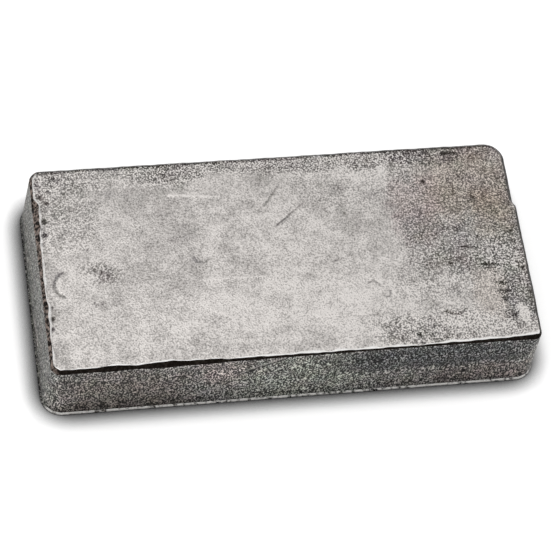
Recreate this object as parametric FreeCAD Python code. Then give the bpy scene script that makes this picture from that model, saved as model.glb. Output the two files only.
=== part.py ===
"""A cast silver bar of 100 troy ounces, in millimetres.

One solid. It was poured in an open mould and lies on its wide face, which is the
one that was open. Its sides lean in towards the top face, its upright corners are
rounded, and its top face and its base each have a narrow bevel. The mould left one
corner of the top face flat in place of round.

Frame: X along the length, Y across the width with the front at -Y, and Z up. The
origin is the middle of the base.
"""

import FreeCAD
import Part

import math
import os

# The bar at its widest level, which is just above the base.
LENGTH = 160.0
WIDTH = 77.0
LOWER_CORNER_RADIUS = 7.0

# The height, and how the sides lean so that the bar leaves its mould.
HEIGHT = 25.2
DRAFT_DEGREES = 5.0

# The bevels round the base and the top face, which lie at 45 degrees.
BASE_BEVEL = 0.6
TOP_BEVEL = 0.9

# The corners at the shoulder, where the sides meet the top bevel.
FRONT_LEFT_CUT = 1.9
FRONT_RIGHT_RADIUS = 2.6
BACK_RIGHT_RADIUS = 6.2
BACK_LEFT_RADIUS = 3.8

ROUND = "round"
CUT = "cut"


def inner_corners(corners, distance):
    """The corners of an outline that lies inside another one by a distance.

    A cut corner keeps its size, so that its bevel is as wide at the top.
    """
    return [
        (kind, size - distance) if kind == ROUND else (kind, size)
        for kind, size in corners
    ]


def corner_edge(point, towards_start, towards_end, corner):
    """The edge across one corner, with its two ends.

    The two directions are unit vectors from the corner's point along its sides.
    """
    kind, size = corner
    start = point + towards_start * size
    end = point + towards_end * size
    if kind == CUT:
        return start, end, Part.LineSegment(start, end).toShape()
    centre = start + towards_end * size
    outward = (point - centre).normalize()
    middle = centre + outward * size
    return start, end, Part.Arc(start, middle, end).toShape()


def outline(length, width, level, corners):
    """A closed wire at one level: four straight sides and four corners.

    It starts at the front left corner and runs anticlockwise, seen from above.
    """
    half_x, half_y = length / 2.0, width / 2.0
    points = [
        FreeCAD.Vector(-half_x, -half_y, level),
        FreeCAD.Vector(half_x, -half_y, level),
        FreeCAD.Vector(half_x, half_y, level),
        FreeCAD.Vector(-half_x, half_y, level),
    ]
    corner_edges = []
    for index, point in enumerate(points):
        before = (points[index - 1] - point).normalize()
        after = (points[(index + 1) % 4] - point).normalize()
        corner_edges.append(corner_edge(point, before, after, corners[index]))

    edges = []
    for index, (start, end, edge) in enumerate(corner_edges):
        next_start = corner_edges[(index + 1) % 4][0]
        edges.append(edge)
        edges.append(Part.LineSegment(end, next_start).toShape())
    return Part.Wire(edges)


def lower_corners():
    return [(ROUND, LOWER_CORNER_RADIUS)] * 4


def shoulder_corners():
    return [
        (CUT, FRONT_LEFT_CUT),
        (ROUND, FRONT_RIGHT_RADIUS),
        (ROUND, BACK_RIGHT_RADIUS),
        (ROUND, BACK_LEFT_RADIUS),
    ]


def shoulder_size():
    """Length, width and level of the shoulder."""
    level = HEIGHT - TOP_BEVEL
    lean = (level - BASE_BEVEL) * math.tan(math.radians(DRAFT_DEGREES))
    return LENGTH - 2.0 * lean, WIDTH - 2.0 * lean, level


def base_outline():
    corners = inner_corners(lower_corners(), BASE_BEVEL)
    return outline(LENGTH - 2.0 * BASE_BEVEL, WIDTH - 2.0 * BASE_BEVEL, 0.0, corners)


def widest_outline():
    return outline(LENGTH, WIDTH, BASE_BEVEL, lower_corners())


def shoulder_outline():
    length, width, level = shoulder_size()
    return outline(length, width, level, shoulder_corners())


def top_outline():
    length, width, _ = shoulder_size()
    corners = inner_corners(shoulder_corners(), TOP_BEVEL)
    return outline(
        length - 2.0 * TOP_BEVEL, width - 2.0 * TOP_BEVEL, HEIGHT, corners
    )


def band(lower, upper):
    """The solid between two outlines, with straight lines up its sides."""
    return Part.makeLoft([lower, upper], True, True)


def silver_bar():
    base_bevel = band(base_outline(), widest_outline())
    sides = band(widest_outline(), shoulder_outline())
    top_bevel = band(shoulder_outline(), top_outline())
    return base_bevel.fuse([sides, top_bevel])


def main():
    bar = silver_bar()
    if not bar.isValid() or len(bar.Solids) != 1:
        raise RuntimeError("the bar is not one valid solid")
    os.makedirs("parts", exist_ok=True)
    bar.Solids[0].exportStep("parts/bar.step")
    box = bar.BoundBox
    print(
        f"bar: {box.XLength:.2f} x {box.YLength:.2f} x {box.ZLength:.2f} mm, "
        f"{bar.Volume / 1000.0:.2f} cm3"
    )


main()
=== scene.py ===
"""A cast silver bar with the finish of every face, and the studio that it is shown in.

The bar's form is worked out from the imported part. A mesh follows that form with the
bevel, dents and scratches of this bar, Geometry Nodes add the relief that the mould
left, and four finishes cover the top face, the bevel, the sides and the base.
"""

import math

import bpy
import numpy as np
from mathutils import Matrix, Vector


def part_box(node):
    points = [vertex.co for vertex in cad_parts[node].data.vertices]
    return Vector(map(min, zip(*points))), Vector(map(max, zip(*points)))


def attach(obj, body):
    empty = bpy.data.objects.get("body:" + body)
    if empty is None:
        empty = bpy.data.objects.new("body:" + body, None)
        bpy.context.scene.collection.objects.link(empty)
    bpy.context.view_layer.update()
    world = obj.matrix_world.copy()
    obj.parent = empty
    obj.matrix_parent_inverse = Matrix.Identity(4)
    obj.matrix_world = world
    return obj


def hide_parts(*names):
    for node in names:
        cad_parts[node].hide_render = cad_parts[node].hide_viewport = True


bl_info = {
    "name": "Cast Silver Bar",
    "version": (1, 0, 0),
    "blender": (4, 5, 0),
    "location": "View3D > Sidebar > Silver Bar",
    "description": "Builds a cast silver bar and a plain studio for it",
    "category": "Add Mesh",
}

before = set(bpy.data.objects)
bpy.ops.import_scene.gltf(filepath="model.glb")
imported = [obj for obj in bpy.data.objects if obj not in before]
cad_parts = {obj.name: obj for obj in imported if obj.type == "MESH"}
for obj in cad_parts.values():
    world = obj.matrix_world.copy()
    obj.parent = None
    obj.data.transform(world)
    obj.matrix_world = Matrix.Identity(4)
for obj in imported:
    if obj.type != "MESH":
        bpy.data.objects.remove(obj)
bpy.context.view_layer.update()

MM = 0.001
BAR_NODE = "bar"
BAR_LOW, BAR_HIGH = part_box(BAR_NODE)
BAR_SIZE = BAR_HIGH - BAR_LOW

# The faces of the bar, in the order of its material slots.
BASE, SIDE, BEVEL, TOP = range(4)


# -------- settings


def linear(hex_colour):
    """A linear RGBA colour from an sRGB hex one."""
    channels = [int(hex_colour[i:i + 2], 16) / 255.0 for i in (0, 2, 4)]
    curve = [
        c / 12.92 if c <= 0.04045 else ((c + 0.055) / 1.055) ** 2.4 for c in channels
    ]
    return (*curve, 1.0)


# What the colour properties share: four channels between 0 and 1.
COLOUR = {"subtype": "COLOR", "size": 4, "min": 0.0, "max": 1.0}


class BarSettings(bpy.types.PropertyGroup):
    """The bar's size, edges and surface relief."""

    length: bpy.props.FloatProperty(
        name="Length", description="Length at the widest level",
        default=BAR_SIZE.x, subtype="DISTANCE",
    )
    width: bpy.props.FloatProperty(
        name="Width", description="Width at the widest level",
        default=BAR_SIZE.y, subtype="DISTANCE",
    )
    height: bpy.props.FloatProperty(
        name="Height", description="Height from the base to the top face",
        default=BAR_SIZE.z, subtype="DISTANCE",
    )
    draft: bpy.props.FloatProperty(
        name="Draft", description="How far the sides lean in",
        default=math.radians(5.0), subtype="ANGLE",
    )
    base_bevel: bpy.props.FloatProperty(
        name="Base Edge", description="Size of the rounding round the base",
        default=0.35 * MM, subtype="DISTANCE",
    )
    wave_depth: bpy.props.FloatProperty(
        name="Wave Depth", description="Depth of the broad waves left by cooling",
        default=0.10 * MM, subtype="DISTANCE",
    )
    lump_depth: bpy.props.FloatProperty(
        name="Lump Depth", description="Depth of the lumps left by the mould wall",
        default=0.05 * MM, subtype="DISTANCE",
    )
    grain_depth: bpy.props.FloatProperty(
        name="Grain Depth", description="Depth of the cast grain",
        default=0.035 * MM, subtype="DISTANCE",
    )


class FinishSettings(bpy.types.PropertyGroup):
    """The colours of the bar's faces."""

    clean: bpy.props.FloatVectorProperty(
        name="Clean Silver", description="Silver that hands keep bright",
        default=linear("EDE8E4"), **COLOUR,
    )
    tarnish: bpy.props.FloatVectorProperty(
        name="Tarnish", description="Heaviest tarnish in the grain of the top face",
        default=linear("3B3734"), **COLOUR,
    )
    side: bpy.props.FloatVectorProperty(
        name="Sides", description="Tarnished sides, between the grain and its specks",
        default=linear("5C5A58"), **COLOUR,
    )
    # Partly patina and partly a painted dark reflection: the smooth bevel mirrors the dark
    # room.
    patina_and_dark_reflection: bpy.props.FloatVectorProperty(
        name="Bevel", description="Black patina on the bevel",
        default=linear("1C1815"), **COLOUR,
    )


class StageSettings(bpy.types.PropertyGroup):
    """The floor's colour and the camera."""

    floor: bpy.props.FloatVectorProperty(
        name="Floor", description="Matt floor", default=linear("F7F7F7"), **COLOUR,
    )
    azimuth: bpy.props.FloatProperty(
        name="Azimuth", description="Camera's turn about the bar, 0 from the front",
        default=math.radians(-20.54), subtype="ANGLE",
    )
    elevation: bpy.props.FloatProperty(
        name="Elevation", description="Camera's height angle",
        default=math.radians(60.06), subtype="ANGLE",
    )
    roll: bpy.props.FloatProperty(
        name="Roll", description="Camera's turn about its own line of sight",
        default=math.radians(13.96), subtype="ANGLE",
    )
    distance: bpy.props.FloatProperty(
        name="Distance", description="From the camera to the bar's middle",
        default=0.8405, subtype="DISTANCE",
    )
    rise: bpy.props.FloatProperty(
        name="Rise", description="How far the camera is moved up in its own frame",
        default=-0.00225, subtype="DISTANCE",
    )
    lens: bpy.props.FloatProperty(
        name="Lens", description="Focal length on a 36 mm sensor, in millimetres",
        default=168.4,
    )


# -------- helpers

NOISE = "ShaderNodeTexNoise"
MATH = "ShaderNodeMath"
VECTOR = "ShaderNodeVectorMath"
# Its inputs by number: the value, the range that it comes from, and the one it goes to.
RANGE = "ShaderNodeMapRange"
MIX = "ShaderNodeMix"
SPLIT = "ShaderNodeSeparateXYZ"
JOIN = "ShaderNodeCombineXYZ"
COORDINATES = "ShaderNodeTexCoord"
ATTRIBUTE = "ShaderNodeAttribute"
MAPPING = "ShaderNodeMapping"
EMISSION = "ShaderNodeEmission"
MATERIAL_OUTPUT = "ShaderNodeOutputMaterial"
# The numbers of a colour mix's two inputs.
UNDER, OVER = 6, 7


def add(tree, kind, inputs=None, **settings):
    """Adds a node with its settings, and a value or a link for each input named.

    A node given as a value is linked by its first output in use.
    """
    node = tree.nodes.new(kind)
    for name, value in settings.items():
        setattr(node, name, value)
    for key, value in (inputs or {}).items():
        if isinstance(value, bpy.types.Node):
            value = next(socket for socket in value.outputs if socket.enabled)
        if isinstance(value, bpy.types.NodeSocket):
            tree.links.new(value, node.inputs[key])
        else:
            node.inputs[key].default_value = value
    return node


# -------- form of the bar

# The mesh lies along the length and the width in cells of about 0.45 mm, and each
# half of a corner takes a fixed share of them, so that its ends fall on vertices.
CELLS_LONG = 352
CELLS_WIDE = 160
CELLS_PER_HALF_CORNER = 8
SIDE_ROWS = 20
BEVEL_ROWS = 3
BASE_ROWS = 2

# The base has a grid this many times as coarse, which ends this far inside its edge.
BASE_STRIDE = 4
BASE_MARGIN = 2.0 * MM

ROUND = "round"
CUT = "cut"
LOWER_CORNERS = [(ROUND, 7.0 * MM)] * 4
SHOULDER_CORNERS = [
    (CUT, 1.9 * MM), (ROUND, 2.6 * MM), (ROUND, 6.2 * MM), (ROUND, 3.8 * MM),
]

# How wide the bevel is along each side, as (place along the side, width) in mm.
BEVEL_WIDTHS = {
    "front": [
        (-77, 1.0), (-66, 1.1), (-59, 1.4), (-53, 1.0), (-46, 1.3), (-41, 1.6),
        (-35, 1.15), (-27, 1.1), (-22, 0.75), (-8, 0.7), (0, 0.6), (30, 0.5), (46, 0.55),
        (49, 0.8), (53, 0.65), (62, 0.8), (68, 1.0), (77, 1.25),
    ],
    "right": [(-36, 0.9), (-10, 1.0), (12, 0.9), (14, 1.3), (36, 1.0)],
    "back": [(-77, 0.9), (-30, 0.8), (0, 1.0), (40, 0.8), (77, 1.0)],
    "left": [
        (-36, 1.0), (-22, 1.1), (-20, 1.5), (-18, 1.1), (-14, 1.5), (-11, 1.1),
        (2, 1.1), (5, 1.4), (8, 1.1), (11, 1.7), (12.5, 1.3), (15, 2.1), (17, 1.6),
        (19, 2.1), (20.5, 1.6), (22.5, 2.3), (24, 2.2), (25, 1.0), (28, 0.8), (36, 1.1),
    ],
}
PLAIN_BEVEL = 0.9 * MM
# The widths are averaged over this many cells, which takes off their corners.
CELLS_AVERAGED = 5

# Waves along the rim of the top face, as (how many go round the bar, depth in mm).
RIM_WAVES = [(31, 0.07), (67, 0.05), (113, 0.04)]

# The right end steps out at one place, as (where along the end, how far out), in mm.
RIGHT_END_STEP = [(-34, 0), (-20, 0.3), (12.6, 0.4), (14, -0.35), (36, -0.2)]
# Along the bar it grows from nothing at the first of these places to full at the other.
STEP_FROM, STEP_TO = 60.0, 74.0

# A thin lip of flash stands out round the base, by this much.
LIP = 0.4 * MM


def corner_points(kind, size):
    """Points from the corner's middle to the end of its half, as (along, inward)."""
    share = np.linspace(1.0, 0.0, CELLS_PER_HALF_CORNER + 1)
    if kind == CUT:
        return np.stack([size - share * size / 2.0, share * size / 2.0], 1)
    angle = share * math.pi / 4.0
    return np.stack([size - size * np.sin(angle), size - size * np.cos(angle)], 1)


def side_points(side_length, start_corner, end_corner, cells):
    """Points along one side, from the middle of a corner to the middle of the next."""
    start = corner_points(*start_corner)
    end = corner_points(*end_corner)[::-1] * (-1.0, 1.0) + (side_length, 0.0)
    straight_cells = cells - 2 * CELLS_PER_HALF_CORNER
    share = np.linspace(0.0, 1.0, straight_cells + 1)[:, None]
    straight = start[-1] * (1.0 - share) + end[0] * share
    return np.concatenate([start, straight[1:-1], end])


def outline(length, width, corners):
    """A loop of points, anticlockwise from the middle of the front left corner."""
    half_x, half_y = length / 2.0, width / 2.0
    sides = [
        ((-half_x, -half_y), (1, 0), (0, 1), length, CELLS_LONG),
        ((half_x, -half_y), (0, 1), (-1, 0), width, CELLS_WIDE),
        ((half_x, half_y), (-1, 0), (0, -1), length, CELLS_LONG),
        ((-half_x, half_y), (0, -1), (1, 0), width, CELLS_WIDE),
    ]
    loop = []
    for index, (origin, along, inward, side_length, cells) in enumerate(sides):
        points = side_points(
            side_length, corners[index], corners[(index + 1) % 4], cells
        )
        placed = np.array(origin) + points[:, :1] * along + points[:, 1:] * inward
        loop.append(placed[:-1])
    return np.concatenate(loop)


def inner_corners(corners, distance):
    """The corners of an outline that lies inside another one by a distance."""
    return [
        (kind, size - distance) if kind == ROUND else (kind, size)
        for kind, size in corners
    ]


def bevel_widths(loop):
    """The bevel's width at each point of the shoulder's loop."""
    ends = np.cumsum([0, CELLS_LONG, CELLS_WIDE, CELLS_LONG, CELLS_WIDE])
    widths = np.zeros(len(loop))
    for index, (side, axis) in enumerate(
        [("front", 0), ("right", 1), ("back", 0), ("left", 1)]
    ):
        places, sizes = zip(*BEVEL_WIDTHS[side])
        part = slice(ends[index], ends[index + 1])
        widths[part] = np.interp(loop[part, axis] / MM, places, sizes) * MM
    reach = CELLS_AVERAGED // 2
    around = np.concatenate([widths[-reach:], widths, widths[:reach]])
    average = np.ones(CELLS_AVERAGED) / CELLS_AVERAGED
    turn = np.arange(len(loop)) / len(loop) * 2.0 * math.pi
    wave = sum(depth * np.sin(count * turn + count) for count, depth in RIM_WAVES)
    return np.convolve(around, average, "valid") + wave * MM


def stepped(loop):
    """The loop with the step of the right end, which fades out along the bar."""
    places, shifts = zip(*RIGHT_END_STEP)
    share = np.interp(loop[:, 0] / MM, (STEP_FROM, STEP_TO), (0.0, 1.0))
    shift = np.interp(loop[:, 1] / MM, places, shifts) * share * MM
    return loop + np.column_stack([shift, np.zeros(len(loop))])


def with_level(loop, level):
    """A flat loop lifted to one level, or to a level for each point."""
    return np.column_stack([loop, np.broadcast_to(level, len(loop))])


def wall_loops(settings):
    """Loops of points from the base up to the top face, and the kind of each band."""
    length, width, height = settings.length, settings.width, settings.height
    edge = settings.base_bevel
    lean = (height - PLAIN_BEVEL - edge) * math.tan(settings.draft)
    widest = outline(length, width, LOWER_CORNERS)
    lowest = outline(
        length - 2 * edge, width - 2 * edge, inner_corners(LOWER_CORNERS, edge)
    )
    shoulder = outline(length - 2 * lean, width - 2 * lean, SHOULDER_CORNERS)
    inset = lean + PLAIN_BEVEL
    plain_top = outline(
        length - 2 * inset, width - 2 * inset,
        inner_corners(SHOULDER_CORNERS, PLAIN_BEVEL),
    )
    bevel = bevel_widths(shoulder)
    inward = (plain_top - shoulder) / PLAIN_BEVEL
    shoulder = stepped(shoulder)
    top = with_level(shoulder + inward * bevel[:, None], height)
    shoulder = with_level(shoulder, height - bevel)

    loops, kinds = [], []
    for row in range(BASE_ROWS + 1):
        turn = row / BASE_ROWS * math.pi / 2.0
        out = math.sin(turn)
        level = edge * (1.0 - math.cos(turn))
        loops.append(with_level(lowest * (1.0 - out) + widest * out, level))
        kinds.append(SIDE)
    lip = outline(
        length - 2 * LIP, width - 2 * LIP, inner_corners(LOWER_CORNERS, LIP)
    )
    lower = with_level(lip, edge + LIP)
    for row in range(SIDE_ROWS + 1):
        share = row / SIDE_ROWS
        loops.append(lower * (1.0 - share) + shoulder * share)
        kinds.append(SIDE)
    for row in range(1, BEVEL_ROWS + 1):
        share = row / BEVEL_ROWS
        loops.append(shoulder * (1.0 - share) + top * share)
        kinds.append(BEVEL)
    return loops, kinds[1:]


def loop_sides(loop, cells_long, cells_wide):
    """The loop cut at its four corners, which each belong to two of its sides."""
    cuts = np.cumsum([0, cells_long, cells_wide, cells_long, cells_wide])
    closed = np.concatenate([loop, loop[:1]])
    return [closed[start:end + 1] for start, end in zip(cuts[:-1], cuts[1:])]


def filled_grid(loop, cells_long, cells_wide):
    """A grid of points across a loop, whose border is the loop itself."""
    front, right, back, left = loop_sides(loop, cells_long, cells_wide)
    back, left = back[::-1], left[::-1]
    u = np.linspace(0.0, 1.0, cells_long + 1)[None, :, None]
    v = np.linspace(0.0, 1.0, cells_wide + 1)[:, None, None]
    across = (1 - v) * front[None] + v * back[None]
    along = (1 - u) * left[:, None] + u * right[:, None]
    corners = (
        (1 - u) * (1 - v) * front[0] + u * (1 - v) * front[-1]
        + (1 - u) * v * back[0] + u * v * back[-1]
    )
    return across + along - corners


class MeshParts:
    """Vertices and faces gathered for one mesh, with the kind of each face."""

    def __init__(self):
        self.points = []
        self.count = 0
        self.faces = []
        self.kinds = []

    def add_points(self, points):
        """Adds vertices and gives their numbers."""
        start = self.count
        self.points.append(points)
        self.count += len(points)
        return np.arange(start, self.count)

    def add_faces(self, faces, kind):
        """Adds faces of one kind."""
        self.faces.extend(faces)
        self.kinds.extend([kind] * len(faces))


def border(numbers):
    """The numbers round the edge of a grid, anticlockwise from its first corner."""
    return np.concatenate(
        [numbers[0, :-1], numbers[:-1, -1], numbers[-1, :0:-1], numbers[:0:-1, 0]]
    )


def add_grid(parts, numbers, kind, upwards):
    """Quads over a grid of vertex numbers, facing up or down."""
    a, b = numbers[:-1, :-1], numbers[:-1, 1:]
    c, d = numbers[1:, 1:], numbers[1:, :-1]
    order = (a, b, c, d) if upwards else (a, d, c, b)
    parts.add_faces(np.stack(order, -1).reshape(-1, 4).tolist(), kind)


def add_walls(parts, rows, kinds):
    """Quads between each loop of vertex numbers and the one above it."""
    for lower, upper, kind in zip(rows[:-1], rows[1:], kinds):
        next_lower, next_upper = np.roll(lower, -1), np.roll(upper, -1)
        quads = np.stack([lower, next_lower, next_upper, upper], -1)
        parts.add_faces(quads.tolist(), kind)


def add_top(parts, loop_numbers, loop):
    """The top face: a fine grid inside the top loop. Gives its vertex numbers."""
    grid = filled_grid(loop, CELLS_LONG, CELLS_WIDE)
    numbers = np.zeros(grid.shape[:2], int)
    inner = grid[1:-1, 1:-1]
    numbers[1:-1, 1:-1] = parts.add_points(inner.reshape(-1, 3)).reshape(inner.shape[:2])
    front, right, back, left = loop_sides(loop_numbers, CELLS_LONG, CELLS_WIDE)
    numbers[0], numbers[-1] = front, back[::-1]
    numbers[:, 0], numbers[:, -1] = left[::-1], right
    add_grid(parts, numbers, TOP, upwards=True)
    return numbers


def add_base(parts, loop_numbers, loop):
    """The base: a coarse grid, joined to the loop by a ring of faces."""
    coarse_loop = loop[::BASE_STRIDE]
    shrunk = 1.0 - BASE_MARGIN / np.abs(coarse_loop[:, :2]).max(0)
    coarse_loop = coarse_loop * np.append(shrunk, 1.0)
    grid = filled_grid(coarse_loop, CELLS_LONG // BASE_STRIDE, CELLS_WIDE // BASE_STRIDE)
    numbers = parts.add_points(grid.reshape(-1, 3)).reshape(grid.shape[:2])
    add_grid(parts, numbers, BASE, upwards=False)
    inner = border(numbers)
    outer = [
        np.roll(loop_numbers, -step)[::BASE_STRIDE] for step in range(BASE_STRIDE, -1, -1)
    ]
    ring = np.stack([*outer, inner, np.roll(inner, -1)], -1)
    parts.add_faces(ring.tolist(), BASE)


def sharp_lines(rows):
    """Pairs of vertex numbers along the edges that stay crisp."""
    top_row = len(rows) - 1
    shoulder_row = top_row - BEVEL_ROWS
    pairs = []
    for row in (top_row, shoulder_row):
        pairs.extend(zip(rows[row].tolist(), np.roll(rows[row], -1).tolist()))
    for column in (CELLS_PER_HALF_CORNER, -CELLS_PER_HALF_CORNER):
        line = [int(rows[row][column]) for row in range(shoulder_row, top_row + 1)]
        pairs.extend(zip(line[:-1], line[1:]))
    return pairs


# -------- marks on the bar

# Marks on the top face, in mm. Scratches and creases are (from, to, width, depth).
# A negative depth is a raised line.
SCRATCHES = [
    ((-4, 18), (1.8, 25.5), 0.7, 0.10),
    ((-1.2, 10.4), (8.8, 18.2), 0.5, 0.16),
    ((0.8, 10.9), (3.4, 13.4), 0.5, 0.06),
    ((-34, 24.2), (-18, 22.4), 0.8, -0.10),
    ((-28, 16.2), (4, 15.6), 0.7, 0.035),
    ((6, -23.9), (22, -24), 0.7, 0.04),
    ((24, -24.1), (37, -23.4), 0.7, 0.05),
    ((47, -24.6), (67, -24.9), 0.7, 0.04),
    ((-28, -7.2), (0, -7.6), 0.9, -0.04),
    ((-24, -29.6), (30, -30.2), 0.9, -0.03),
    ((-68, 31.6), (-46, 30.9), 0.8, -0.10),
    ((-73, 34), (-67, 31.4), 0.9, 0.06),
    ((9, -4.9), (13, -4.2), 0.7, 0.04),
    ((15.5, -3.8), (18.5, -3), 0.7, 0.09),
    ((20, -2.4), (22.2, -1.6), 0.6, 0.05),
    ((57.5, -1.6), (62.5, -2.4), 0.8, 0.18),
    ((63, -8.6), (68, -9.2), 0.8, 0.22),
    ((66.5, -15.5), (70, -16), 0.8, 0.20),
    ((67, -18.5), (70.5, -19), 0.8, 0.20),
    ((57, 33.4), (62, 33.3), 0.8, 0.24),
    ((-26, -17.6), (-19, -21.8), 0.8, -0.05),
    ((6, -22), (13, -27), 0.8, -0.05),
]
# Each loses this share of its depth on the way from one end to the other.
SCRATCH_LOSS = 0.5

# Curved dents as (centre, radius, from and to angle in degrees, width, depth).
CURVED_DENTS = [
    ((-69.2, -5.8), 4.6, 112, 246, 1.1, 0.10),
    ((-69, -5.8), 3.6, 125, 235, 0.8, -0.03),
    ((51.5, -22.2), 3.6, 215, 325, 0.8, 0.12),
    ((30.5, -16.6), 1.3, 190, 400, 0.6, 0.08),
    ((26.5, -14.4), 2.4, 20, 130, 0.6, 0.08),
    ((-60.5, -12.2), 1.5, 190, 350, 0.6, 0.09),
    ((-26.5, 1.5), 2.6, 195, 330, 0.8, 0.07),
    ((53, 20), 5.5, -20, 40, 0.6, 0.10),
]

# Pits as (centre, radius, depth).
PITS = [
    ((-77.3, 23.6), 0.72, 0.25), ((-75.9, 21.4), 0.64, 0.22), ((-75.2, 26.4), 0.56, 0.20),
    ((-74.6, 17.4), 0.72, 0.26), ((-76.2, 15), 0.64, 0.22), ((-74.8, 12.6), 0.72, 0.26),
    ((-72.2, 28.2), 0.48, 0.16), ((-73.1, 24.1), 0.56, 0.18), ((-71.4, 19.6), 0.48, 0.14),
    ((-76, 9.2), 0.56, 0.18), ((-75.6, -17.4), 0.64, 0.22), ((-75.8, -21), 0.56, 0.20),
    ((-75.4, -13.4), 0.48, 0.16), ((-76.6, 2), 0.48, 0.16), ((49.2, 23.2), 0.72, 0.20),
    ((38.6, -32.3), 0.64, 0.22), ((43.5, -29.6), 0.48, 0.15), ((57, 5.2), 0.56, 0.15),
    ((21.4, 13.2), 0.40, 0.12), ((-58.6, -2.2), 0.56, 0.12), ((-56.4, -3.4), 0.48, 0.12),
    ((-60.8, -1.4), 0.48, 0.10), ((70.2, -27.4), 0.64, 0.20), ((68, -21.6), 0.56, 0.17),
    ((-67.4, 27), 0.48, 0.14), ((-70.5, 32.8), 0.56, 0.16), ((-62.2, 6.2), 0.40, 0.10),
    ((-70.2, 8), 0.48, 0.12), ((52.8, -7.8), 0.48, 0.13), ((63.5, 1.8), 0.48, 0.13),
    ((74.5, 2.6), 0.56, 0.16), ((76, -11), 0.56, 0.16),
]

# Low steps, as (edge from, edge to, run of the slope, drop). The metal lies lower on
# the right of the edge, seen along it, and rises again over a few millimetres.
STEPS = [
    ((66.3, -31), (66.3, -9), 0.8, 0.14),
    ((28, 30.2), (-74, 31), 0.9, 0.12),
    ((39.5, -4), (39, 30), 1.6, 0.05),
]
# How far the metal takes to rise again, and the share of a step that each end takes.
STEP_REACH = 6.0
STEP_ENDS = 0.1

# How near the rim the marks fade out, how near it the distance to it is measured at
# all, and the most that a line stands proud, in mm.
RIM_FADE = 0.8
RIM_REACH = 3.0
MOST_RAISED = 0.1


def groove(distance, width, depth):
    """How deep a groove is at a distance from its middle line."""
    return depth * np.exp(-((2.0 * distance / width) ** 2))


def distance_to_line(points, start, end):
    """Distance from a line, and the share of its length that a point lies at."""
    start, end = np.array(start), np.array(end)
    along = end - start
    share = ((points - start) @ along) / (along @ along)
    nearest = start + np.clip(share, 0.0, 1.0)[:, None] * along
    return np.linalg.norm(points - nearest, axis=1), share


def distance_to_arc(points, centre, radius, start_angle, end_angle):
    """Distance from an arc, which runs anticlockwise between two angles."""
    middle = math.radians((start_angle + end_angle) / 2.0)
    half = math.radians((end_angle - start_angle) / 2.0)
    offset = points - np.array(centre)
    angle = np.arctan2(offset[:, 1], offset[:, 0]) - middle
    angle = (angle + math.pi) % (2.0 * math.pi) - math.pi
    angle = np.clip(angle, -half, half) + middle
    nearest = radius * np.stack([np.cos(angle), np.sin(angle)], 1)
    return np.linalg.norm(offset - nearest, axis=1)


def mark_depths(points):
    """How deep the marks lie at each point of the top face, all in mm."""
    depth = np.zeros(len(points))
    for start, end, width, deep in SCRATCHES:
        distance, share = distance_to_line(points, start, end)
        kept = 1.0 - SCRATCH_LOSS * np.clip(share, 0.0, 1.0)
        depth += groove(distance, width, deep) * kept
    for centre, radius, start_angle, end_angle, width, deep in CURVED_DENTS:
        distance = distance_to_arc(points, centre, radius, start_angle, end_angle)
        depth += groove(distance, width, deep)
    for centre, radius, deep in PITS:
        distance = np.linalg.norm(points - np.array(centre), axis=1)
        depth += groove(distance, 2.0 * radius, deep)
    return depth


def step_depths(points):
    """How far the low steps sink each point of the top face, in mm."""
    depth = np.zeros(len(points))
    for start, end, run, drop in STEPS:
        start, end = np.array(start), np.array(end)
        length = np.linalg.norm(end - start)
        along = (end - start) / length
        offset = points - start
        right = offset @ np.array([along[1], -along[0]])
        share = offset @ along / length
        fade = np.clip(np.minimum(share, 1.0 - share) / STEP_ENDS, 0.0, 1.0)
        slope = 0.5 + 0.5 * np.tanh(2.0 * right / run)
        depth += drop * fade * slope * np.exp(-np.maximum(right, 0.0) / STEP_REACH)
    return depth


def inset_from_rim(points, rim):
    """Distance in mm from each point of the top face to the rim, up to its reach."""
    result = np.full(len(points), RIM_REACH)
    for start, end in zip(rim, np.roll(rim, -1, 0)):
        close = np.abs(points - start).max(1) < RIM_REACH
        if close.any():
            distance, _ = distance_to_line(points[close], start, end)
            result[close] = np.minimum(result[close], distance)
    return result


def bar_mesh(settings):
    """The bar's form with its marks, before the cast relief."""
    parts = MeshParts()
    loops, kinds = wall_loops(settings)
    rows = [parts.add_points(loop) for loop in loops]
    add_walls(parts, rows, kinds)
    top_numbers = add_top(parts, rows[-1], loops[-1])
    add_base(parts, rows[0], loops[0])

    points = np.concatenate(parts.points)
    top = top_numbers.ravel()
    flat = points[top, :2] / MM
    inset = np.zeros(len(points))
    inset[top] = inset_from_rim(flat, loops[-1][:, :2] / MM)
    marks = np.zeros(len(points))
    marks[top] = mark_depths(flat)
    depth = (marks[top] + step_depths(flat)) * np.clip(inset[top] / RIM_FADE, 0.0, 1.0)
    points[top, 2] -= np.maximum(depth, -MOST_RAISED) * MM

    mesh = bpy.data.meshes.new("silver_bar")
    mesh.from_pydata(points.tolist(), [], parts.faces)
    kind = mesh.attributes.new("kind", "INT", "FACE")
    kind.data.foreach_set("value", np.array(parts.kinds, np.int32))
    for name, values in (("inset", inset), ("mark", marks)):
        attribute = mesh.attributes.new(name, "FLOAT", "POINT")
        attribute.data.foreach_set("value", values.astype(np.float32))
    mesh.polygons.foreach_set("use_smooth", np.ones(len(mesh.polygons), bool))
    mark_sharp(mesh, sharp_lines(rows))
    mesh.validate()
    return mesh


def mark_sharp(mesh, pairs):
    """Marks the edges between these pairs of vertices sharp."""
    wanted = {tuple(sorted(pair)) for pair in pairs}
    ends = np.zeros(len(mesh.edges) * 2, np.int32)
    mesh.edges.foreach_get("vertices", ends)
    sharp = [tuple(sorted(pair)) in wanted for pair in ends.reshape(-1, 2).tolist()]
    mesh.edges.foreach_set("use_edge_sharp", sharp)


# -------- cast relief


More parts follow.
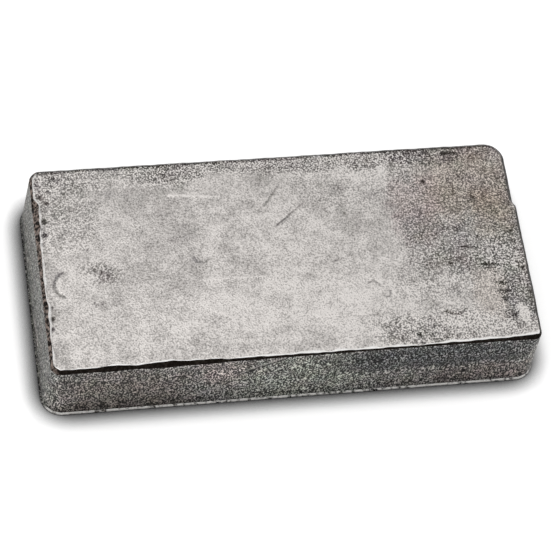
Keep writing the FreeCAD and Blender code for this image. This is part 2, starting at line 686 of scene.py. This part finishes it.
def cast_relief_tree(materials):
    """Geometry Nodes that press the mould's relief into a form, along its normals."""
    tree = bpy.data.node_groups.new("cast relief", "GeometryNodeTree")
    panel = tree.interface
    panel.new_socket("Geometry", in_out="INPUT", socket_type="NodeSocketGeometry")
    panel.new_socket("Geometry", in_out="OUTPUT", socket_type="NodeSocketGeometry")
    defaults = {
        "Wave Size": 26.0 * MM, "Wave Depth": 0.10 * MM,
        "Lump Size": 5.0 * MM, "Lump Depth": 0.05 * MM,
        "Grain Size": 1.3 * MM, "Grain Depth": 0.035 * MM,
        "Seed": 3.0,
    }
    for name, value in defaults.items():
        socket = panel.new_socket(name, in_out="INPUT", socket_type="NodeSocketFloat")
        socket.default_value = value

    given = add(tree, "NodeGroupInput").outputs
    position = add(tree, "GeometryNodeInputPosition").outputs["Position"]
    normal = add(tree, "GeometryNodeInputNormal").outputs["Normal"]
    depth = 0.0
    for name, detail in (("Wave", 1.0), ("Lump", 2.0), ("Grain", 2.0)):
        scale = add(tree, MATH, {0: 1.0, 1: given[f"{name} Size"]}, operation="DIVIDE")
        noise = add(
            tree, NOISE,
            {"Vector": position, "W": given["Seed"], "Scale": scale, "Detail": detail},
            noise_dimensions="4D",
        )
        depth = add(
            tree, MATH, {0: noise, 1: given[f"{name} Depth"], 2: depth},
            operation="MULTIPLY_ADD",
        )
    inward = add(tree, MATH, {0: depth, 1: -1.0}, operation="MULTIPLY")
    offset = add(tree, VECTOR, {0: normal, "Scale": inward}, operation="SCALE")
    shape = add(
        tree, "GeometryNodeSetPosition", {"Geometry": given["Geometry"], "Offset": offset}
    )
    shape = add(tree, "GeometryNodeRealizeInstances", {"Geometry": shape})
    kind = add(tree, "GeometryNodeInputNamedAttribute", {"Name": "kind"}, data_type="INT")
    for index, material in enumerate(materials):
        chosen = add(
            tree, "FunctionNodeCompare", {2: kind, 3: index}, data_type="INT",
            operation="EQUAL",
        )
        shape = add(
            tree, "GeometryNodeSetMaterial",
            {"Geometry": shape, "Selection": chosen, "Material": material},
        )
    add(tree, "NodeGroupOutput", {"Geometry": shape})
    return tree


def applied(piece, tree, values):
    """Runs a Geometry Nodes tree on a piece and makes its result the piece's mesh."""
    modifier = piece.modifiers.new("cast relief", "NODES")
    modifier.node_group = tree
    for item in tree.interface.items_tree:
        if item.in_out == "INPUT" and item.name in values:
            modifier[item.identifier] = values[item.name]
    graph = bpy.context.evaluated_depsgraph_get()
    mesh = bpy.data.meshes.new_from_object(
        piece.evaluated_get(graph), preserve_all_data_layers=True, depsgraph=graph
    )
    piece.modifiers.remove(modifier)
    plain = piece.data
    piece.data = mesh
    bpy.data.meshes.remove(plain)
    mesh.name = piece.name


def kept_in_box(mesh, low, high):
    """Moves any point that lies outside a box onto its wall."""
    points = np.zeros(len(mesh.vertices) * 3, np.float32)
    mesh.vertices.foreach_get("co", points)
    points = np.clip(points.reshape(-1, 3), low, high)
    mesh.vertices.foreach_set("co", points.ravel())
    mesh.update()


# -------- finishes

# The values of noise between which nearly all of it lies.
NOISE_LOW, NOISE_HIGH = 0.3, 0.7
TINT_SOFTNESS = 0.8
# Half of the size of a patch, in mm, in the direction in which it has no end.
ENDLESS = 1000.0


def new_material(name):
    """An empty material, and its node tree."""
    material = bpy.data.materials.new(name)
    material.use_nodes = True
    material.node_tree.nodes.clear()
    return material, material.node_tree


def millimetres(tree):
    """Object coordinates in millimetres."""
    place = add(tree, COORDINATES).outputs["Object"]
    return add(tree, VECTOR, {0: place, "Scale": 1.0 / MM}, operation="SCALE")


def grain(tree, place, size, low, high, detail=1.0):
    """Noise about size mm across, whose usual range is spread from low to high."""
    source = add(tree, NOISE, {"Vector": place, "Scale": 1.0 / size, "Detail": detail})
    return add(tree, RANGE, {0: source, 1: NOISE_LOW, 2: NOISE_HIGH, 3: low, 4: high})


def warped(tree, place, size, reach):
    """Coordinates pushed about by noise, so that what reads them has ragged edges."""
    push = add(tree, NOISE, {"Vector": place, "Scale": 1.0 / size, "Detail": 3.0})
    centred = add(
        tree, VECTOR, {0: push.outputs["Color"], 1: (0.5, 0.5, 0.5)}, operation="SUBTRACT"
    )
    return add(
        tree, VECTOR, {0: centred, 1: (reach,) * 3, 2: place}, operation="MULTIPLY_ADD"
    )


def patch(tree, place, centre, half, softness, turn=0.0):
    """A mask that is 1 inside a box with round corners and 0 outside it."""
    local = add(
        tree, MAPPING,
        {
            "Vector": place, "Location": (*centre, 0.0), "Scale": (*half, ENDLESS),
            "Rotation": (0.0, 0.0, math.radians(turn)),
        },
        vector_type="TEXTURE",
    )
    squared = add(tree, VECTOR, {0: local, 1: local}, operation="MULTIPLY")
    reach = add(tree, VECTOR, {0: squared}, operation="LENGTH")
    return add(
        tree, RANGE, {0: reach, 1: 1.0 - softness, 2: 1.0 + softness, 3: 1.0, 4: 0.0},
        interpolation_type="SMOOTHSTEP",
    )


def summed_patches(tree, place, base, patches):
    """A base value, and the strength of each patch added where it lies."""
    total = base
    for centre, half, softness, strength in patches:
        mask = patch(tree, place, centre, half, softness)
        total = add(tree, MATH, {0: mask, 1: strength, 2: total}, operation="MULTIPLY_ADD")
    return total


def tinted(tree, place, colour, tints, blend):
    """A colour with each tint blended over it by its share where it lies."""
    for centre, half, hex_colour, share, *turn in tints:
        mask = patch(tree, place, centre, half, TINT_SOFTNESS, *turn)
        mask = add(tree, MATH, {0: mask, 1: share}, operation="MULTIPLY")
        colour = add(
            tree, MIX, {0: mask, UNDER: colour, OVER: linear(hex_colour)},
            data_type="RGBA", blend_type=blend,
        )
    return colour


def metal_output(tree, colour, roughness, height, bump_depth):
    """A metal surface with its colour, its roughness and the height of its grain."""
    bump = add(
        tree, "ShaderNodeBump",
        {"Strength": 1.0, "Distance": bump_depth * MM, "Height": height},
    )
    shader = add(
        tree, "ShaderNodeBsdfPrincipled",
        {"Base Color": colour, "Metallic": 1.0, "Roughness": roughness, "Normal": bump},
    )
    add(tree, MATERIAL_OUTPUT, {"Surface": shader})


# Tarnish on the top face, as (centre, half size, softness, strength), in mm.
TOP_TARNISH = [
    ((62, 16), (23, 24), 0.45, 0.195),
    ((46, 4), (7.5, 8), 0.8, 0.08),
    ((70, 16), (9, 18), 0.8, 0.06),
    ((58, 33.5), (20, 3.5), 0.7, 0.07),
    ((74, -20.5), (7.5, 11.5), 0.35, 0.29),
    ((77.5, 4), (2, 34), 0.8, 0.10),
    ((38, -29.5), (10, 5), 0.8, 0.175),
    ((54, -34), (24, 2), 0.8, 0.08),
    ((8, 33.8), (52, 3.8), 0.6, 0.105),
    ((-50, 34), (28, 3.6), 0.7, 0.08),
    ((5, 32), (24, 2.6), 0.8, 0.07),
    ((-69, 24), (11, 13), 0.8, 0.11),
    ((-60, 12), (22, 20), 0.9, 0.02),
    ((-77, 8), (3, 32), 0.8, 0.12),
    ((-58, -2), (5, 2), 0.9, 0.20),
    ((-42, 27), (12, 7), 0.9, 0.10),
    ((-10, 25), (24, 6), 0.9, 0.03),
    ((-36, -2), (9, 16), 0.9, 0.05),
    ((-60, -26), (26, 13), 0.9, 0.02),
    ((28, 16), (12, 14), 0.8, 0.085),
    ((52, -14), (15, 9), 0.8, 0.12),
    ((52, -9), (15, 3.5), 0.8, 0.12),
    ((12, -10), (6, 5), 0.9, 0.05),
    ((73.5, -28), (2.2, 3.6), 0.7, -0.46),
    ((30, 28), (8, 2.2), 0.8, -0.12),
    ((5, -20), (50, 10), 0.9, -0.07),
]

# Where the grain of the top face stays coarse and full of tarnish, in the same form.
TOP_COARSE = [
    ((60, 16), (22, 24), 0.45, 0.34),
    ((2, 34), (46, 4.5), 0.5, 0.54),
    ((-50, 33), (30, 5), 0.7, 0.26),
    ((72, -18), (8, 18), 0.5, 0.44),
    ((46, -30), (20, 6), 0.7, 0.56),
    ((-69, 22), (10, 15), 0.7, 0.25),
    ((-58, -2), (6, 3), 0.9, 0.26),
    ((55, -13), (18, 8), 0.8, 0.26),
    ((24, 24), (16, 9), 0.8, 0.11),
]

# Tints of the tarnish on the top face, as (centre, half size, colour, share), in mm.
TOP_TINTS = [
    ((64, 22), (15, 13), "F3E0CE", 0.40),
    ((45, 14), (8, 11), "F3E4E6", 0.50),
    ((69, 10), (6, 9), "F4E6D2", 0.35),
    ((57, 18), (5, 6), "E4EAE4", 0.25),
    ((64, -18), (5, 8), "F6EADF", 0.30),
]

# Clouds in the tarnish of the top face, as (size in mm, how far they change it).
CLOUDS = [(17.0, 0.05), (6.5, 0.07), (2.6, 0.05)]

# The tarnish and the coarseness of the top face where no patch changes them.
PLAIN_TARNISH = 0.14
PLAIN_COARSENESS = 0.28

# How far the specks lean toward the dark or the pale, and where the front rim was
# knocked flat and carries a wider painted highlight, as (centre, half size), in mm.
LEAN = 0.45
KNOCK_HIGHLIGHT = ((-45.0, -35.9), (8.0, 1.0))

# The finest grain of the top face and of the sides, in mm. The real grain is finer,
# about 0.2 mm: it is drawn as coarse as it has to be to show.
TOP_GRAIN = 0.52
SIDE_GRAIN = 0.5


def handled_silver(colours):
    """Cast silver, worn by handling: the top face.

    The mould's grain is worn to a pale satin, which is broken by fine dark specks.
    Tarnish stays where hands don't reach, along the back and over the right end,
    and there it is coarser, darker and tinted brown, rose and green.
    """
    material, tree = new_material("cast silver, handled")
    place = millimetres(tree)
    ragged = warped(tree, warped(tree, place, 12.0, 11.0), 3.2, 6.5)
    mark = add(tree, ATTRIBUTE, attribute_name="mark").outputs["Fac"]

    tarnish = summed_patches(tree, ragged, PLAIN_TARNISH, TOP_TARNISH)
    for size, reach in CLOUDS:
        cloud = grain(tree, place, size, -reach, reach, 2.0)
        tarnish = add(tree, MATH, {0: tarnish, 1: cloud}, operation="ADD")
    inset = add(tree, ATTRIBUTE, attribute_name="inset").outputs["Fac"]
    across = add(tree, SPLIT, {0: place}).outputs["Y"]
    # A dark band along the back rim is painted: it stands for the back bevel's dark
    # reflection, seen at a grazing angle.
    back_rim_dark_reflection = add(tree, RANGE, {0: inset, 1: 0.2, 2: 1.0, 3: 0.5, 4: 0.0})
    back = add(tree, RANGE, {0: across, 1: 33.5, 2: 34.5})
    tarnish = add(
        tree, MATH, {0: back_rim_dark_reflection, 1: back, 2: tarnish}, operation="MULTIPLY_ADD"
    )
    # Sunk marks are painted darker and raised lines paler, so that they show as if lit:
    # painted shade in the hollows, a painted highlight on the raised lines.
    mark_shade_and_highlight = add(tree, RANGE, {0: mark, 1: -0.06, 2: 0.16, 3: -0.22, 4: 0.60})
    tarnish = add(tree, MATH, {0: tarnish, 1: mark_shade_and_highlight}, operation="ADD", use_clamp=True)

    # Fine specks, and veins between the lumps of a coarser grain.
    coarseness = summed_patches(tree, ragged, PLAIN_COARSENESS, TOP_COARSE)
    fine = grain(tree, place, TOP_GRAIN, -0.6, 0.6)
    lumps = add(tree, NOISE, {"Vector": place, "Scale": 1.0 / 1.2, "Detail": 2.0})
    distance = add(tree, MATH, {0: lumps, 1: 0.5}, operation="SUBTRACT")
    distance = add(tree, MATH, {0: distance}, operation="ABSOLUTE")
    veins = add(tree, RANGE, {0: distance, 1: 0.0, 2: 0.06, 3: 0.22, 4: -0.10})
    # The veins are dark where the face is worn, and pale where its grain stays coarse.
    sign = add(tree, RANGE, {0: coarseness, 1: 0.35, 2: 0.6, 3: 1.0, 4: -1.0})
    # The specks lean the same way: the rare strong ones are dark, or pale.
    lean = add(tree, MATH, {0: fine, 1: sign}, operation="MULTIPLY")
    lean = add(tree, MATH, {0: lean, 1: LEAN, 2: 1.0}, operation="MULTIPLY_ADD")
    fine = add(tree, MATH, {0: fine, 1: lean}, operation="MULTIPLY")
    specks = add(tree, MATH, {0: veins, 1: sign, 2: fine}, operation="MULTIPLY_ADD")
    speckled = add(
        tree, MATH, {0: specks, 1: coarseness, 2: tarnish}, operation="MULTIPLY_ADD",
        use_clamp=True,
    )

    # The square makes even steps of tarnish look even.
    bare = add(tree, MATH, {0: 1.0, 1: speckled}, operation="SUBTRACT")
    bare = add(tree, MATH, {0: bare, 1: 2.0}, operation="POWER")
    colour = add(
        tree, MIX, {0: bare, UNDER: colours.tarnish, OVER: colours.clean},
        data_type="RGBA",
    )
    colour = tinted(tree, ragged, colour, TOP_TINTS, "MULTIPLY")
    hue = add(tree, NOISE, {"Vector": place, "Scale": 1.0 / 7.0, "Detail": 1.0})
    hue_share = add(tree, RANGE, {0: tarnish, 1: 0.2, 2: 0.5, 3: 0.0, 4: 0.13})
    colour = add(
        tree, MIX, {0: hue_share, UNDER: colour, OVER: hue.outputs["Color"]},
        data_type="RGBA", blend_type="SOFT_LIGHT",
    )

    # The front rim is rubbed bright, and along it and the rim of the left end lies a
    # near-white painted highlight, where their rounded edge catches the light.
    front = add(tree, RANGE, {0: across, 1: -33.5, 2: -34.0})
    along = add(tree, SPLIT, {0: place}).outputs["X"]
    left = add(tree, RANGE, {0: along, 1: -75.0, 2: -75.6, 3: 0.0, 4: 0.6})
    worn = add(tree, MATH, {0: front, 1: left}, operation="MAXIMUM")
    rim_highlight_width = grain(tree, place, 7.0, 0.03, 1.25, 2.0)
    rim = add(tree, MATH, {0: inset, 1: rim_highlight_width}, operation="DIVIDE")
    rim = add(tree, RANGE, {0: rim, 1: 0.6, 2: 1.1, 3: 1.0, 4: 0.0})
    rim = add(tree, MATH, {0: rim, 1: worn}, operation="MULTIPLY")
    # A knock left it flat in one place, and there the flat facet carries a wider painted
    # highlight.
    knock_highlight = patch(tree, place, *KNOCK_HIGHLIGHT, 0.35)
    rim = add(
        tree, MATH, {0: knock_highlight, 1: 0.75, 2: rim}, operation="MULTIPLY_ADD", use_clamp=True
    )
    colour = add(
        tree, MIX, {0: rim, UNDER: colour, OVER: linear("FAF8F6")}, data_type="RGBA"
    )

    roughness = add(tree, RANGE, {0: speckled, 1: 0.0, 2: 0.7, 3: 0.36, 4: 0.58})
    height = add(tree, MATH, {0: lumps, 1: fine}, operation="ADD")
    metal_output(tree, colour, roughness, height, 0.04)
    return material


def black_patina_and_reflection(colours):
    """Black patina, smooth, under a painted dark reflection: the bevel round the top face.

    The mould's edge chilled the metal smooth, and the sulphide on it is dark. Its near-black
    colour is partly that patina and partly a painted reflection of the dark room that the
    smooth bevel mirrors.
    On the left end it is pitted and brown.
    """
    material, tree = new_material("cast silver, black patina")
    place = millimetres(tree)
    along = add(tree, SPLIT, {0: place}).outputs["X"]
    left = add(tree, RANGE, {0: along, 1: -74.5, 2: -76.0, 3: 0.12, 4: 1.0})
    across = add(tree, SPLIT, {0: place}).outputs["Y"]
    cut = add(tree, RANGE, {0: across, 1: -33.0, 2: -35.0, 3: 1.0, 4: 0.45})
    left = add(tree, MATH, {0: left, 1: cut}, operation="MULTIPLY")
    grit = grain(tree, place, 1.0, -0.9, 1.6, 2.0)
    brown_share = add(tree, MATH, {0: left, 1: grit}, operation="MULTIPLY")
    # The near-black colour is partly patina and partly a painted dark reflection.
    colour = add(
        tree, MIX, {0: brown_share, UNDER: colours.patina_and_dark_reflection, OVER: linear("8C7E76")},
        data_type="RGBA",
    )
    metal_output(tree, colour, 0.38, brown_share, 0.10)
    return material


# Tints on the sides, as (centre along and up, half size, colour, share), in mm.
SIDE_TINTS = [
    ((-56, 9), (20, 12), "4A433D", 0.48),
    ((-24, 18), (8, 6), "766E6B", 0.5),
    ((3, 11), (19, 12), "686A64", 0.7),
    ((45, 19), (32, 6), "2D2E2F", 0.84),
    ((62, 6), (18, 5), "504845", 0.5),
    ((-50, 2.5), (22, 3), "403C3A", 0.6),
    ((-80, 12), (4, 14), "5C5E5A", 0.4),
    ((-76, 5), (2.4, 2.6), "8A8682", 0.5),
    ((79, 12), (2, 12), "72716E", 0.5),
]

# Marks on the sides, in the same form, with their turn in degrees.
SIDE_MARKS = [
    ((-12, 19.9), (7.4, 0.45), "161514", 0.6, 29),
    ((-12.2, 20.7), (7, 0.40), "B8B4B0", 0.4, 29),
    ((-29, 7.4), (7.5, 0.60), "A8A4A0", 0.3, 24),
    ((54.6, 8.2), (0.8, 0.9), "0C0B0A", 0.95, 0),
    ((-50.8, 9), (0.45, 2.6), "1A1817", 0.6, -25),
    ((-16.4, 21.6), (0.5, 1.4), "121110", 0.7, 20),
]

# Where the tarnish of the sides is blackest, as (centre, half size), in mm.
BLACKEST = ((46.0, 20.0), (28.0, 4.2))


def tarnished_silver(colours):
    """Cast silver, tarnished: the sides.

    The mould wall left a coarse leathery grain. Tarnish has filled it, so that the
    side is dark grey with paler specks where the grain stands proud, in drifts of
    brown, green and black. The lip of flash along the lowest edge of the front carries a
    painted highlight.
    """
    material, tree = new_material("cast silver, tarnished")
    place = millimetres(tree)
    ragged = add(tree, SPLIT, {0: warped(tree, place, 6.0, 9.0)}).outputs
    flat = add(tree, JOIN, {0: ragged["X"], 1: ragged["Z"]})
    colour = tinted(tree, flat, colours.side, SIDE_TINTS, "MIX")

    # The mould wall drew the grain out upwards.
    drawn = add(tree, MAPPING, {"Vector": place, "Scale": (1.0, 1.0, 0.7)})
    fine = add(tree, NOISE, {"Vector": drawn, "Scale": 1.0 / SIDE_GRAIN, "Detail": 1.0})
    specks = add(
        tree, RANGE, {0: fine, 1: 0.43, 2: 0.70, 3: 0.28, 4: 4.8},
        interpolation_type="SMOOTHSTEP",
    )
    # The back lay against a smoother wall of the mould, so its specks are more even.
    across = add(tree, SPLIT, {0: place}).outputs["Y"]
    evenness = add(tree, RANGE, {0: across, 1: 20.0, 2: 36.0, 3: 0.0, 4: 0.5})
    specks = add(tree, MIX, {0: evenness, 2: specks, 3: 1.1}, data_type="FLOAT")
    drifts = grain(tree, drawn, 2.2, 0.75, 1.3, 2.0)
    gain = add(tree, MATH, {0: specks, 1: drifts}, operation="MULTIPLY")
    # Where the tarnish is blackest, the bare specks stand out more.
    black = patch(tree, flat, *BLACKEST, 0.6)
    contrast = add(tree, MATH, {0: black, 1: 0.4, 2: 1.0}, operation="MULTIPLY_ADD")
    gain = add(tree, MATH, {0: gain, 1: contrast}, operation="POWER")
    colour = add(tree, VECTOR, {0: colour, "Scale": gain}, operation="SCALE")
    steady = add(tree, SPLIT, {0: warped(tree, place, 3.0, 1.5)}).outputs
    steady = add(tree, JOIN, {0: steady["X"], 1: steady["Z"]})
    colour = tinted(tree, steady, colour, SIDE_MARKS, "MIX")
    hue = add(tree, NOISE, {"Vector": place, "Scale": 1.0 / 4.0, "Detail": 1.0})
    colour = add(
        tree, MIX, {0: 0.10, UNDER: colour, OVER: hue.outputs["Color"]},
        data_type="RGBA", blend_type="SOFT_LIGHT",
    )

    # The lip of flash on the front is painted pale in broken lengths: a painted highlight
    # where it catches the light from above.
    level = add(tree, SPLIT, {0: place}).outputs["Z"]
    line = add(tree, RANGE, {0: level, 1: 1.2, 2: 0.9, 3: 0.0, 4: 1.0})
    broken = grain(tree, place, 1.4, -0.2, 2.0, 2.0)
    front = add(tree, RANGE, {0: across, 1: -33.0, 2: -37.0})
    broken = add(tree, MATH, {0: broken, 1: front}, operation="MULTIPLY")
    line = add(tree, MATH, {0: line, 1: broken}, operation="MULTIPLY", use_clamp=True)
    colour = add(
        tree, MIX, {0: line, UNDER: colour, OVER: linear("F4F2EF")}, data_type="RGBA"
    )
    height = add(tree, MATH, {0: fine, 1: drifts}, operation="ADD")
    metal_output(tree, colour, 0.55, height, 0.14)
    return material


def open_face_silver(colours):
    """Cast silver that set in the open air: the base.

    It is dull and grey, with the faint cells that the metal drew as it set.
    """
    material, tree = new_material("cast silver, open face")
    place = millimetres(tree)
    cells = add(
        tree, "ShaderNodeTexVoronoi",
        {"Vector": warped(tree, place, 3.0, 2.0), "Scale": 1.0 / 5.0}, feature="SMOOTH_F1",
    )
    specks = grain(tree, place, 0.7, 0.10, 0.55, 2.0)
    share = add(tree, MATH, {0: cells, 1: 0.25, 2: specks}, operation="MULTIPLY_ADD")
    colour = add(
        tree, MIX, {0: share, UNDER: colours.clean, OVER: colours.tarnish},
        data_type="RGBA",
    )
    height = add(tree, MATH, {0: cells, 1: specks}, operation="ADD")
    metal_output(tree, colour, 0.5, height, 0.08)
    return material


# -------- building the bar


class SILVER_OT_bar(bpy.types.Operator):
    """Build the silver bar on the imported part"""

    bl_idname = "silver.bar"
    bl_label = "Build Silver Bar"
    bl_options = {"REGISTER", "UNDO"}

    def execute(self, context):
        settings = context.scene.silver_bar
        colours = context.scene.silver_finish
        piece = bpy.data.objects.new("silver_bar", bar_mesh(settings))
        context.scene.collection.objects.link(piece)
        materials = [
            open_face_silver(colours), tarnished_silver(colours),
            black_patina_and_reflection(colours), handled_silver(colours),
        ]
        tree = cast_relief_tree(materials)
        applied(piece, tree, {
            "Wave Depth": settings.wave_depth,
            "Lump Depth": settings.lump_depth,
            "Grain Depth": settings.grain_depth,
        })
        kept_in_box(piece.data, BAR_LOW, BAR_HIGH)
        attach(piece, "root")
        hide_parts(BAR_NODE)
        return {"FINISHED"}


# -------- stage

FLOOR_RADIUS = 6.0
# How near the bar the floor's painted contact shadow reaches, and how strongly the floor
# glows where it is seen.
CONTACT_SHADOW_REACH = 8.0 * MM
FLOOR_GLOW = 0.43

# The light of the dome, and of its part low in front.
DOME_LIGHT = 0.74
LOW_FRONT_LIGHT = 0.62

SOFTBOX_PLACE = (-0.45, 0.05, 1.42)
SOFTBOX_SIZE = 1.1
SOFTBOX_WATTS = 3.8

SENSOR_WIDTH = 36.0


def floor_material(tone):
    """Matt white studio floor, with a painted contact shadow where it meets the bar."""
    material, tree = new_material("studio floor, matt white")
    contact_shadow = add(tree, "ShaderNodeAmbientOcclusion", {"Distance": CONTACT_SHADOW_REACH})
    # The floor's colour is darkened near the bar: a painted contact shadow.
    shade = add(tree, RANGE, {0: contact_shadow.outputs["AO"], 1: 0.48, 2: 0.96, 3: 0.0, 4: 1.0})
    shade = add(tree, MATH, {0: shade, 1: 1.5}, operation="POWER")
    black = (0.0, 0.0, 0.0, 1.0)
    colour = add(tree, MIX, {0: shade, UNDER: black, OVER: tone}, data_type="RGBA")
    matt = add(tree, "ShaderNodeBsdfDiffuse", {"Color": colour})
    glow = add(tree, EMISSION, {"Color": colour, "Strength": FLOOR_GLOW})
    path = add(tree, "ShaderNodeLightPath").outputs
    seen = add(
        tree, MATH, {0: path["Is Camera Ray"], 1: path["Is Glossy Ray"]}, operation="ADD"
    )
    seen = add(
        tree, MATH, {0: seen, 1: path["Is Transmission Ray"]}, operation="ADD",
        use_clamp=True,
    )
    none = add(tree, EMISSION, {"Strength": 0.0})
    added = add(tree, "ShaderNodeMixShader", {0: seen, 1: none, 2: glow})
    surface = add(tree, "ShaderNodeAddShader", {0: matt, 1: added})
    add(tree, MATERIAL_OUTPUT, {"Surface": surface})
    return material


def add_floor(scene, tone):
    """A floor that reaches past the picture on all sides."""
    mesh = bpy.data.meshes.new("studio_floor")
    corners = [(-1, -1), (1, -1), (1, 1), (-1, 1)]
    points = [(x * FLOOR_RADIUS, y * FLOOR_RADIUS, 0.0) for x, y in corners]
    mesh.from_pydata(points, [], [(0, 1, 2, 3)])
    mesh.materials.append(floor_material(tone))
    floor = bpy.data.objects.new("studio_floor", mesh)
    scene.collection.objects.link(floor)


def add_world(scene):
    """A soft white dome, darker low in front, as in a studio open on that side."""
    world = bpy.data.worlds.new("soft dome")
    world.use_nodes = True
    tree = world.node_tree
    tree.nodes.clear()
    direction = add(tree, COORDINATES).outputs["Generated"]
    split = add(tree, SPLIT, {0: direction}).outputs
    strength = add(
        tree, RANGE,
        {0: split["Y"], 1: -0.35, 2: -0.95, 3: DOME_LIGHT, 4: LOW_FRONT_LIGHT},
        interpolation_type="SMOOTHSTEP",
    )
    glow = add(
        tree, "ShaderNodeBackground", {"Color": (1.0, 1.0, 1.0, 1.0), "Strength": strength}
    )
    add(tree, "ShaderNodeOutputWorld", {"Surface": glow})
    scene.world = world


def add_softbox(scene):
    """A weak square softbox overhead, aimed at the bar."""
    lamp = bpy.data.lights.new("softbox", "AREA")
    lamp.shape = "SQUARE"
    lamp.size = SOFTBOX_SIZE
    lamp.energy = SOFTBOX_WATTS
    thing = bpy.data.objects.new("softbox", lamp)
    thing.location = SOFTBOX_PLACE
    thing.rotation_euler = (-thing.location).to_track_quat("-Z", "Y").to_euler()
    scene.collection.objects.link(thing)


def add_camera(scene, settings):
    """The camera, turned about the bar's middle and then about its own axis."""
    azimuth, elevation, roll = settings.azimuth, settings.elevation, settings.roll
    forward = Vector((
        -math.sin(azimuth) * math.cos(elevation),
        math.cos(azimuth) * math.cos(elevation),
        -math.sin(elevation),
    ))
    right = Vector((math.cos(azimuth), math.sin(azimuth), 0.0))
    up = right.cross(forward)
    turned_right = right * math.cos(roll) + up * math.sin(roll)
    turned_up = up * math.cos(roll) - right * math.sin(roll)
    middle = Vector((0.0, 0.0, BAR_SIZE.z / 2.0))
    place = middle + turned_up * settings.rise - forward * settings.distance
    camera = bpy.data.cameras.new("camera")
    camera.lens = settings.lens
    camera.sensor_width = SENSOR_WIDTH
    thing = bpy.data.objects.new("camera", camera)
    axes = Matrix((turned_right, turned_up, -forward)).transposed()
    thing.matrix_world = Matrix.Translation(place) @ axes.to_4x4()
    scene.collection.objects.link(thing)
    scene.camera = thing


class SILVER_OT_stage(bpy.types.Operator):
    """Build the floor, the lights and the camera"""

    bl_idname = "silver.stage"
    bl_label = "Build Stage"
    bl_options = {"REGISTER", "UNDO"}

    def execute(self, context):
        scene = context.scene
        settings = scene.silver_stage
        add_floor(scene, settings.floor)
        add_world(scene)
        add_softbox(scene)
        add_camera(scene, settings)
        scene.view_settings.view_transform = "Standard"
        return {"FINISHED"}


# -------- panel and registration


class SILVER_PT_panel(bpy.types.Panel):
    """Settings of the silver bar and its stage"""

    bl_idname = "SILVER_PT_panel"
    bl_label = "Silver Bar"
    bl_space_type = "VIEW_3D"
    bl_region_type = "UI"
    bl_category = "Silver Bar"

    def draw(self, context):
        layout = self.layout
        for group in (
            context.scene.silver_bar, context.scene.silver_finish, context.scene.silver_stage,
        ):
            box = layout.box()
            for name in group.__annotations__:
                box.prop(group, name)
        layout.operator(SILVER_OT_bar.bl_idname)
        layout.operator(SILVER_OT_stage.bl_idname)


CLASSES = [
    BarSettings, FinishSettings, StageSettings, SILVER_OT_bar, SILVER_OT_stage,
    SILVER_PT_panel,
]


def register():
    """Makes the panel, its operators and its settings known."""
    for cls in CLASSES:
        bpy.utils.register_class(cls)
    bpy.types.Scene.silver_bar = bpy.props.PointerProperty(type=BarSettings)
    bpy.types.Scene.silver_finish = bpy.props.PointerProperty(type=FinishSettings)
    bpy.types.Scene.silver_stage = bpy.props.PointerProperty(type=StageSettings)


def unregister():
    """Takes back what register did."""
    del bpy.types.Scene.silver_stage
    del bpy.types.Scene.silver_finish
    del bpy.types.Scene.silver_bar
    for cls in reversed(CLASSES):
        bpy.utils.unregister_class(cls)


def main():
    """Builds the bar and its stage."""
    register()
    bpy.ops.silver.bar()
    bpy.ops.silver.stage()


if __name__ == "__main__":
    main()
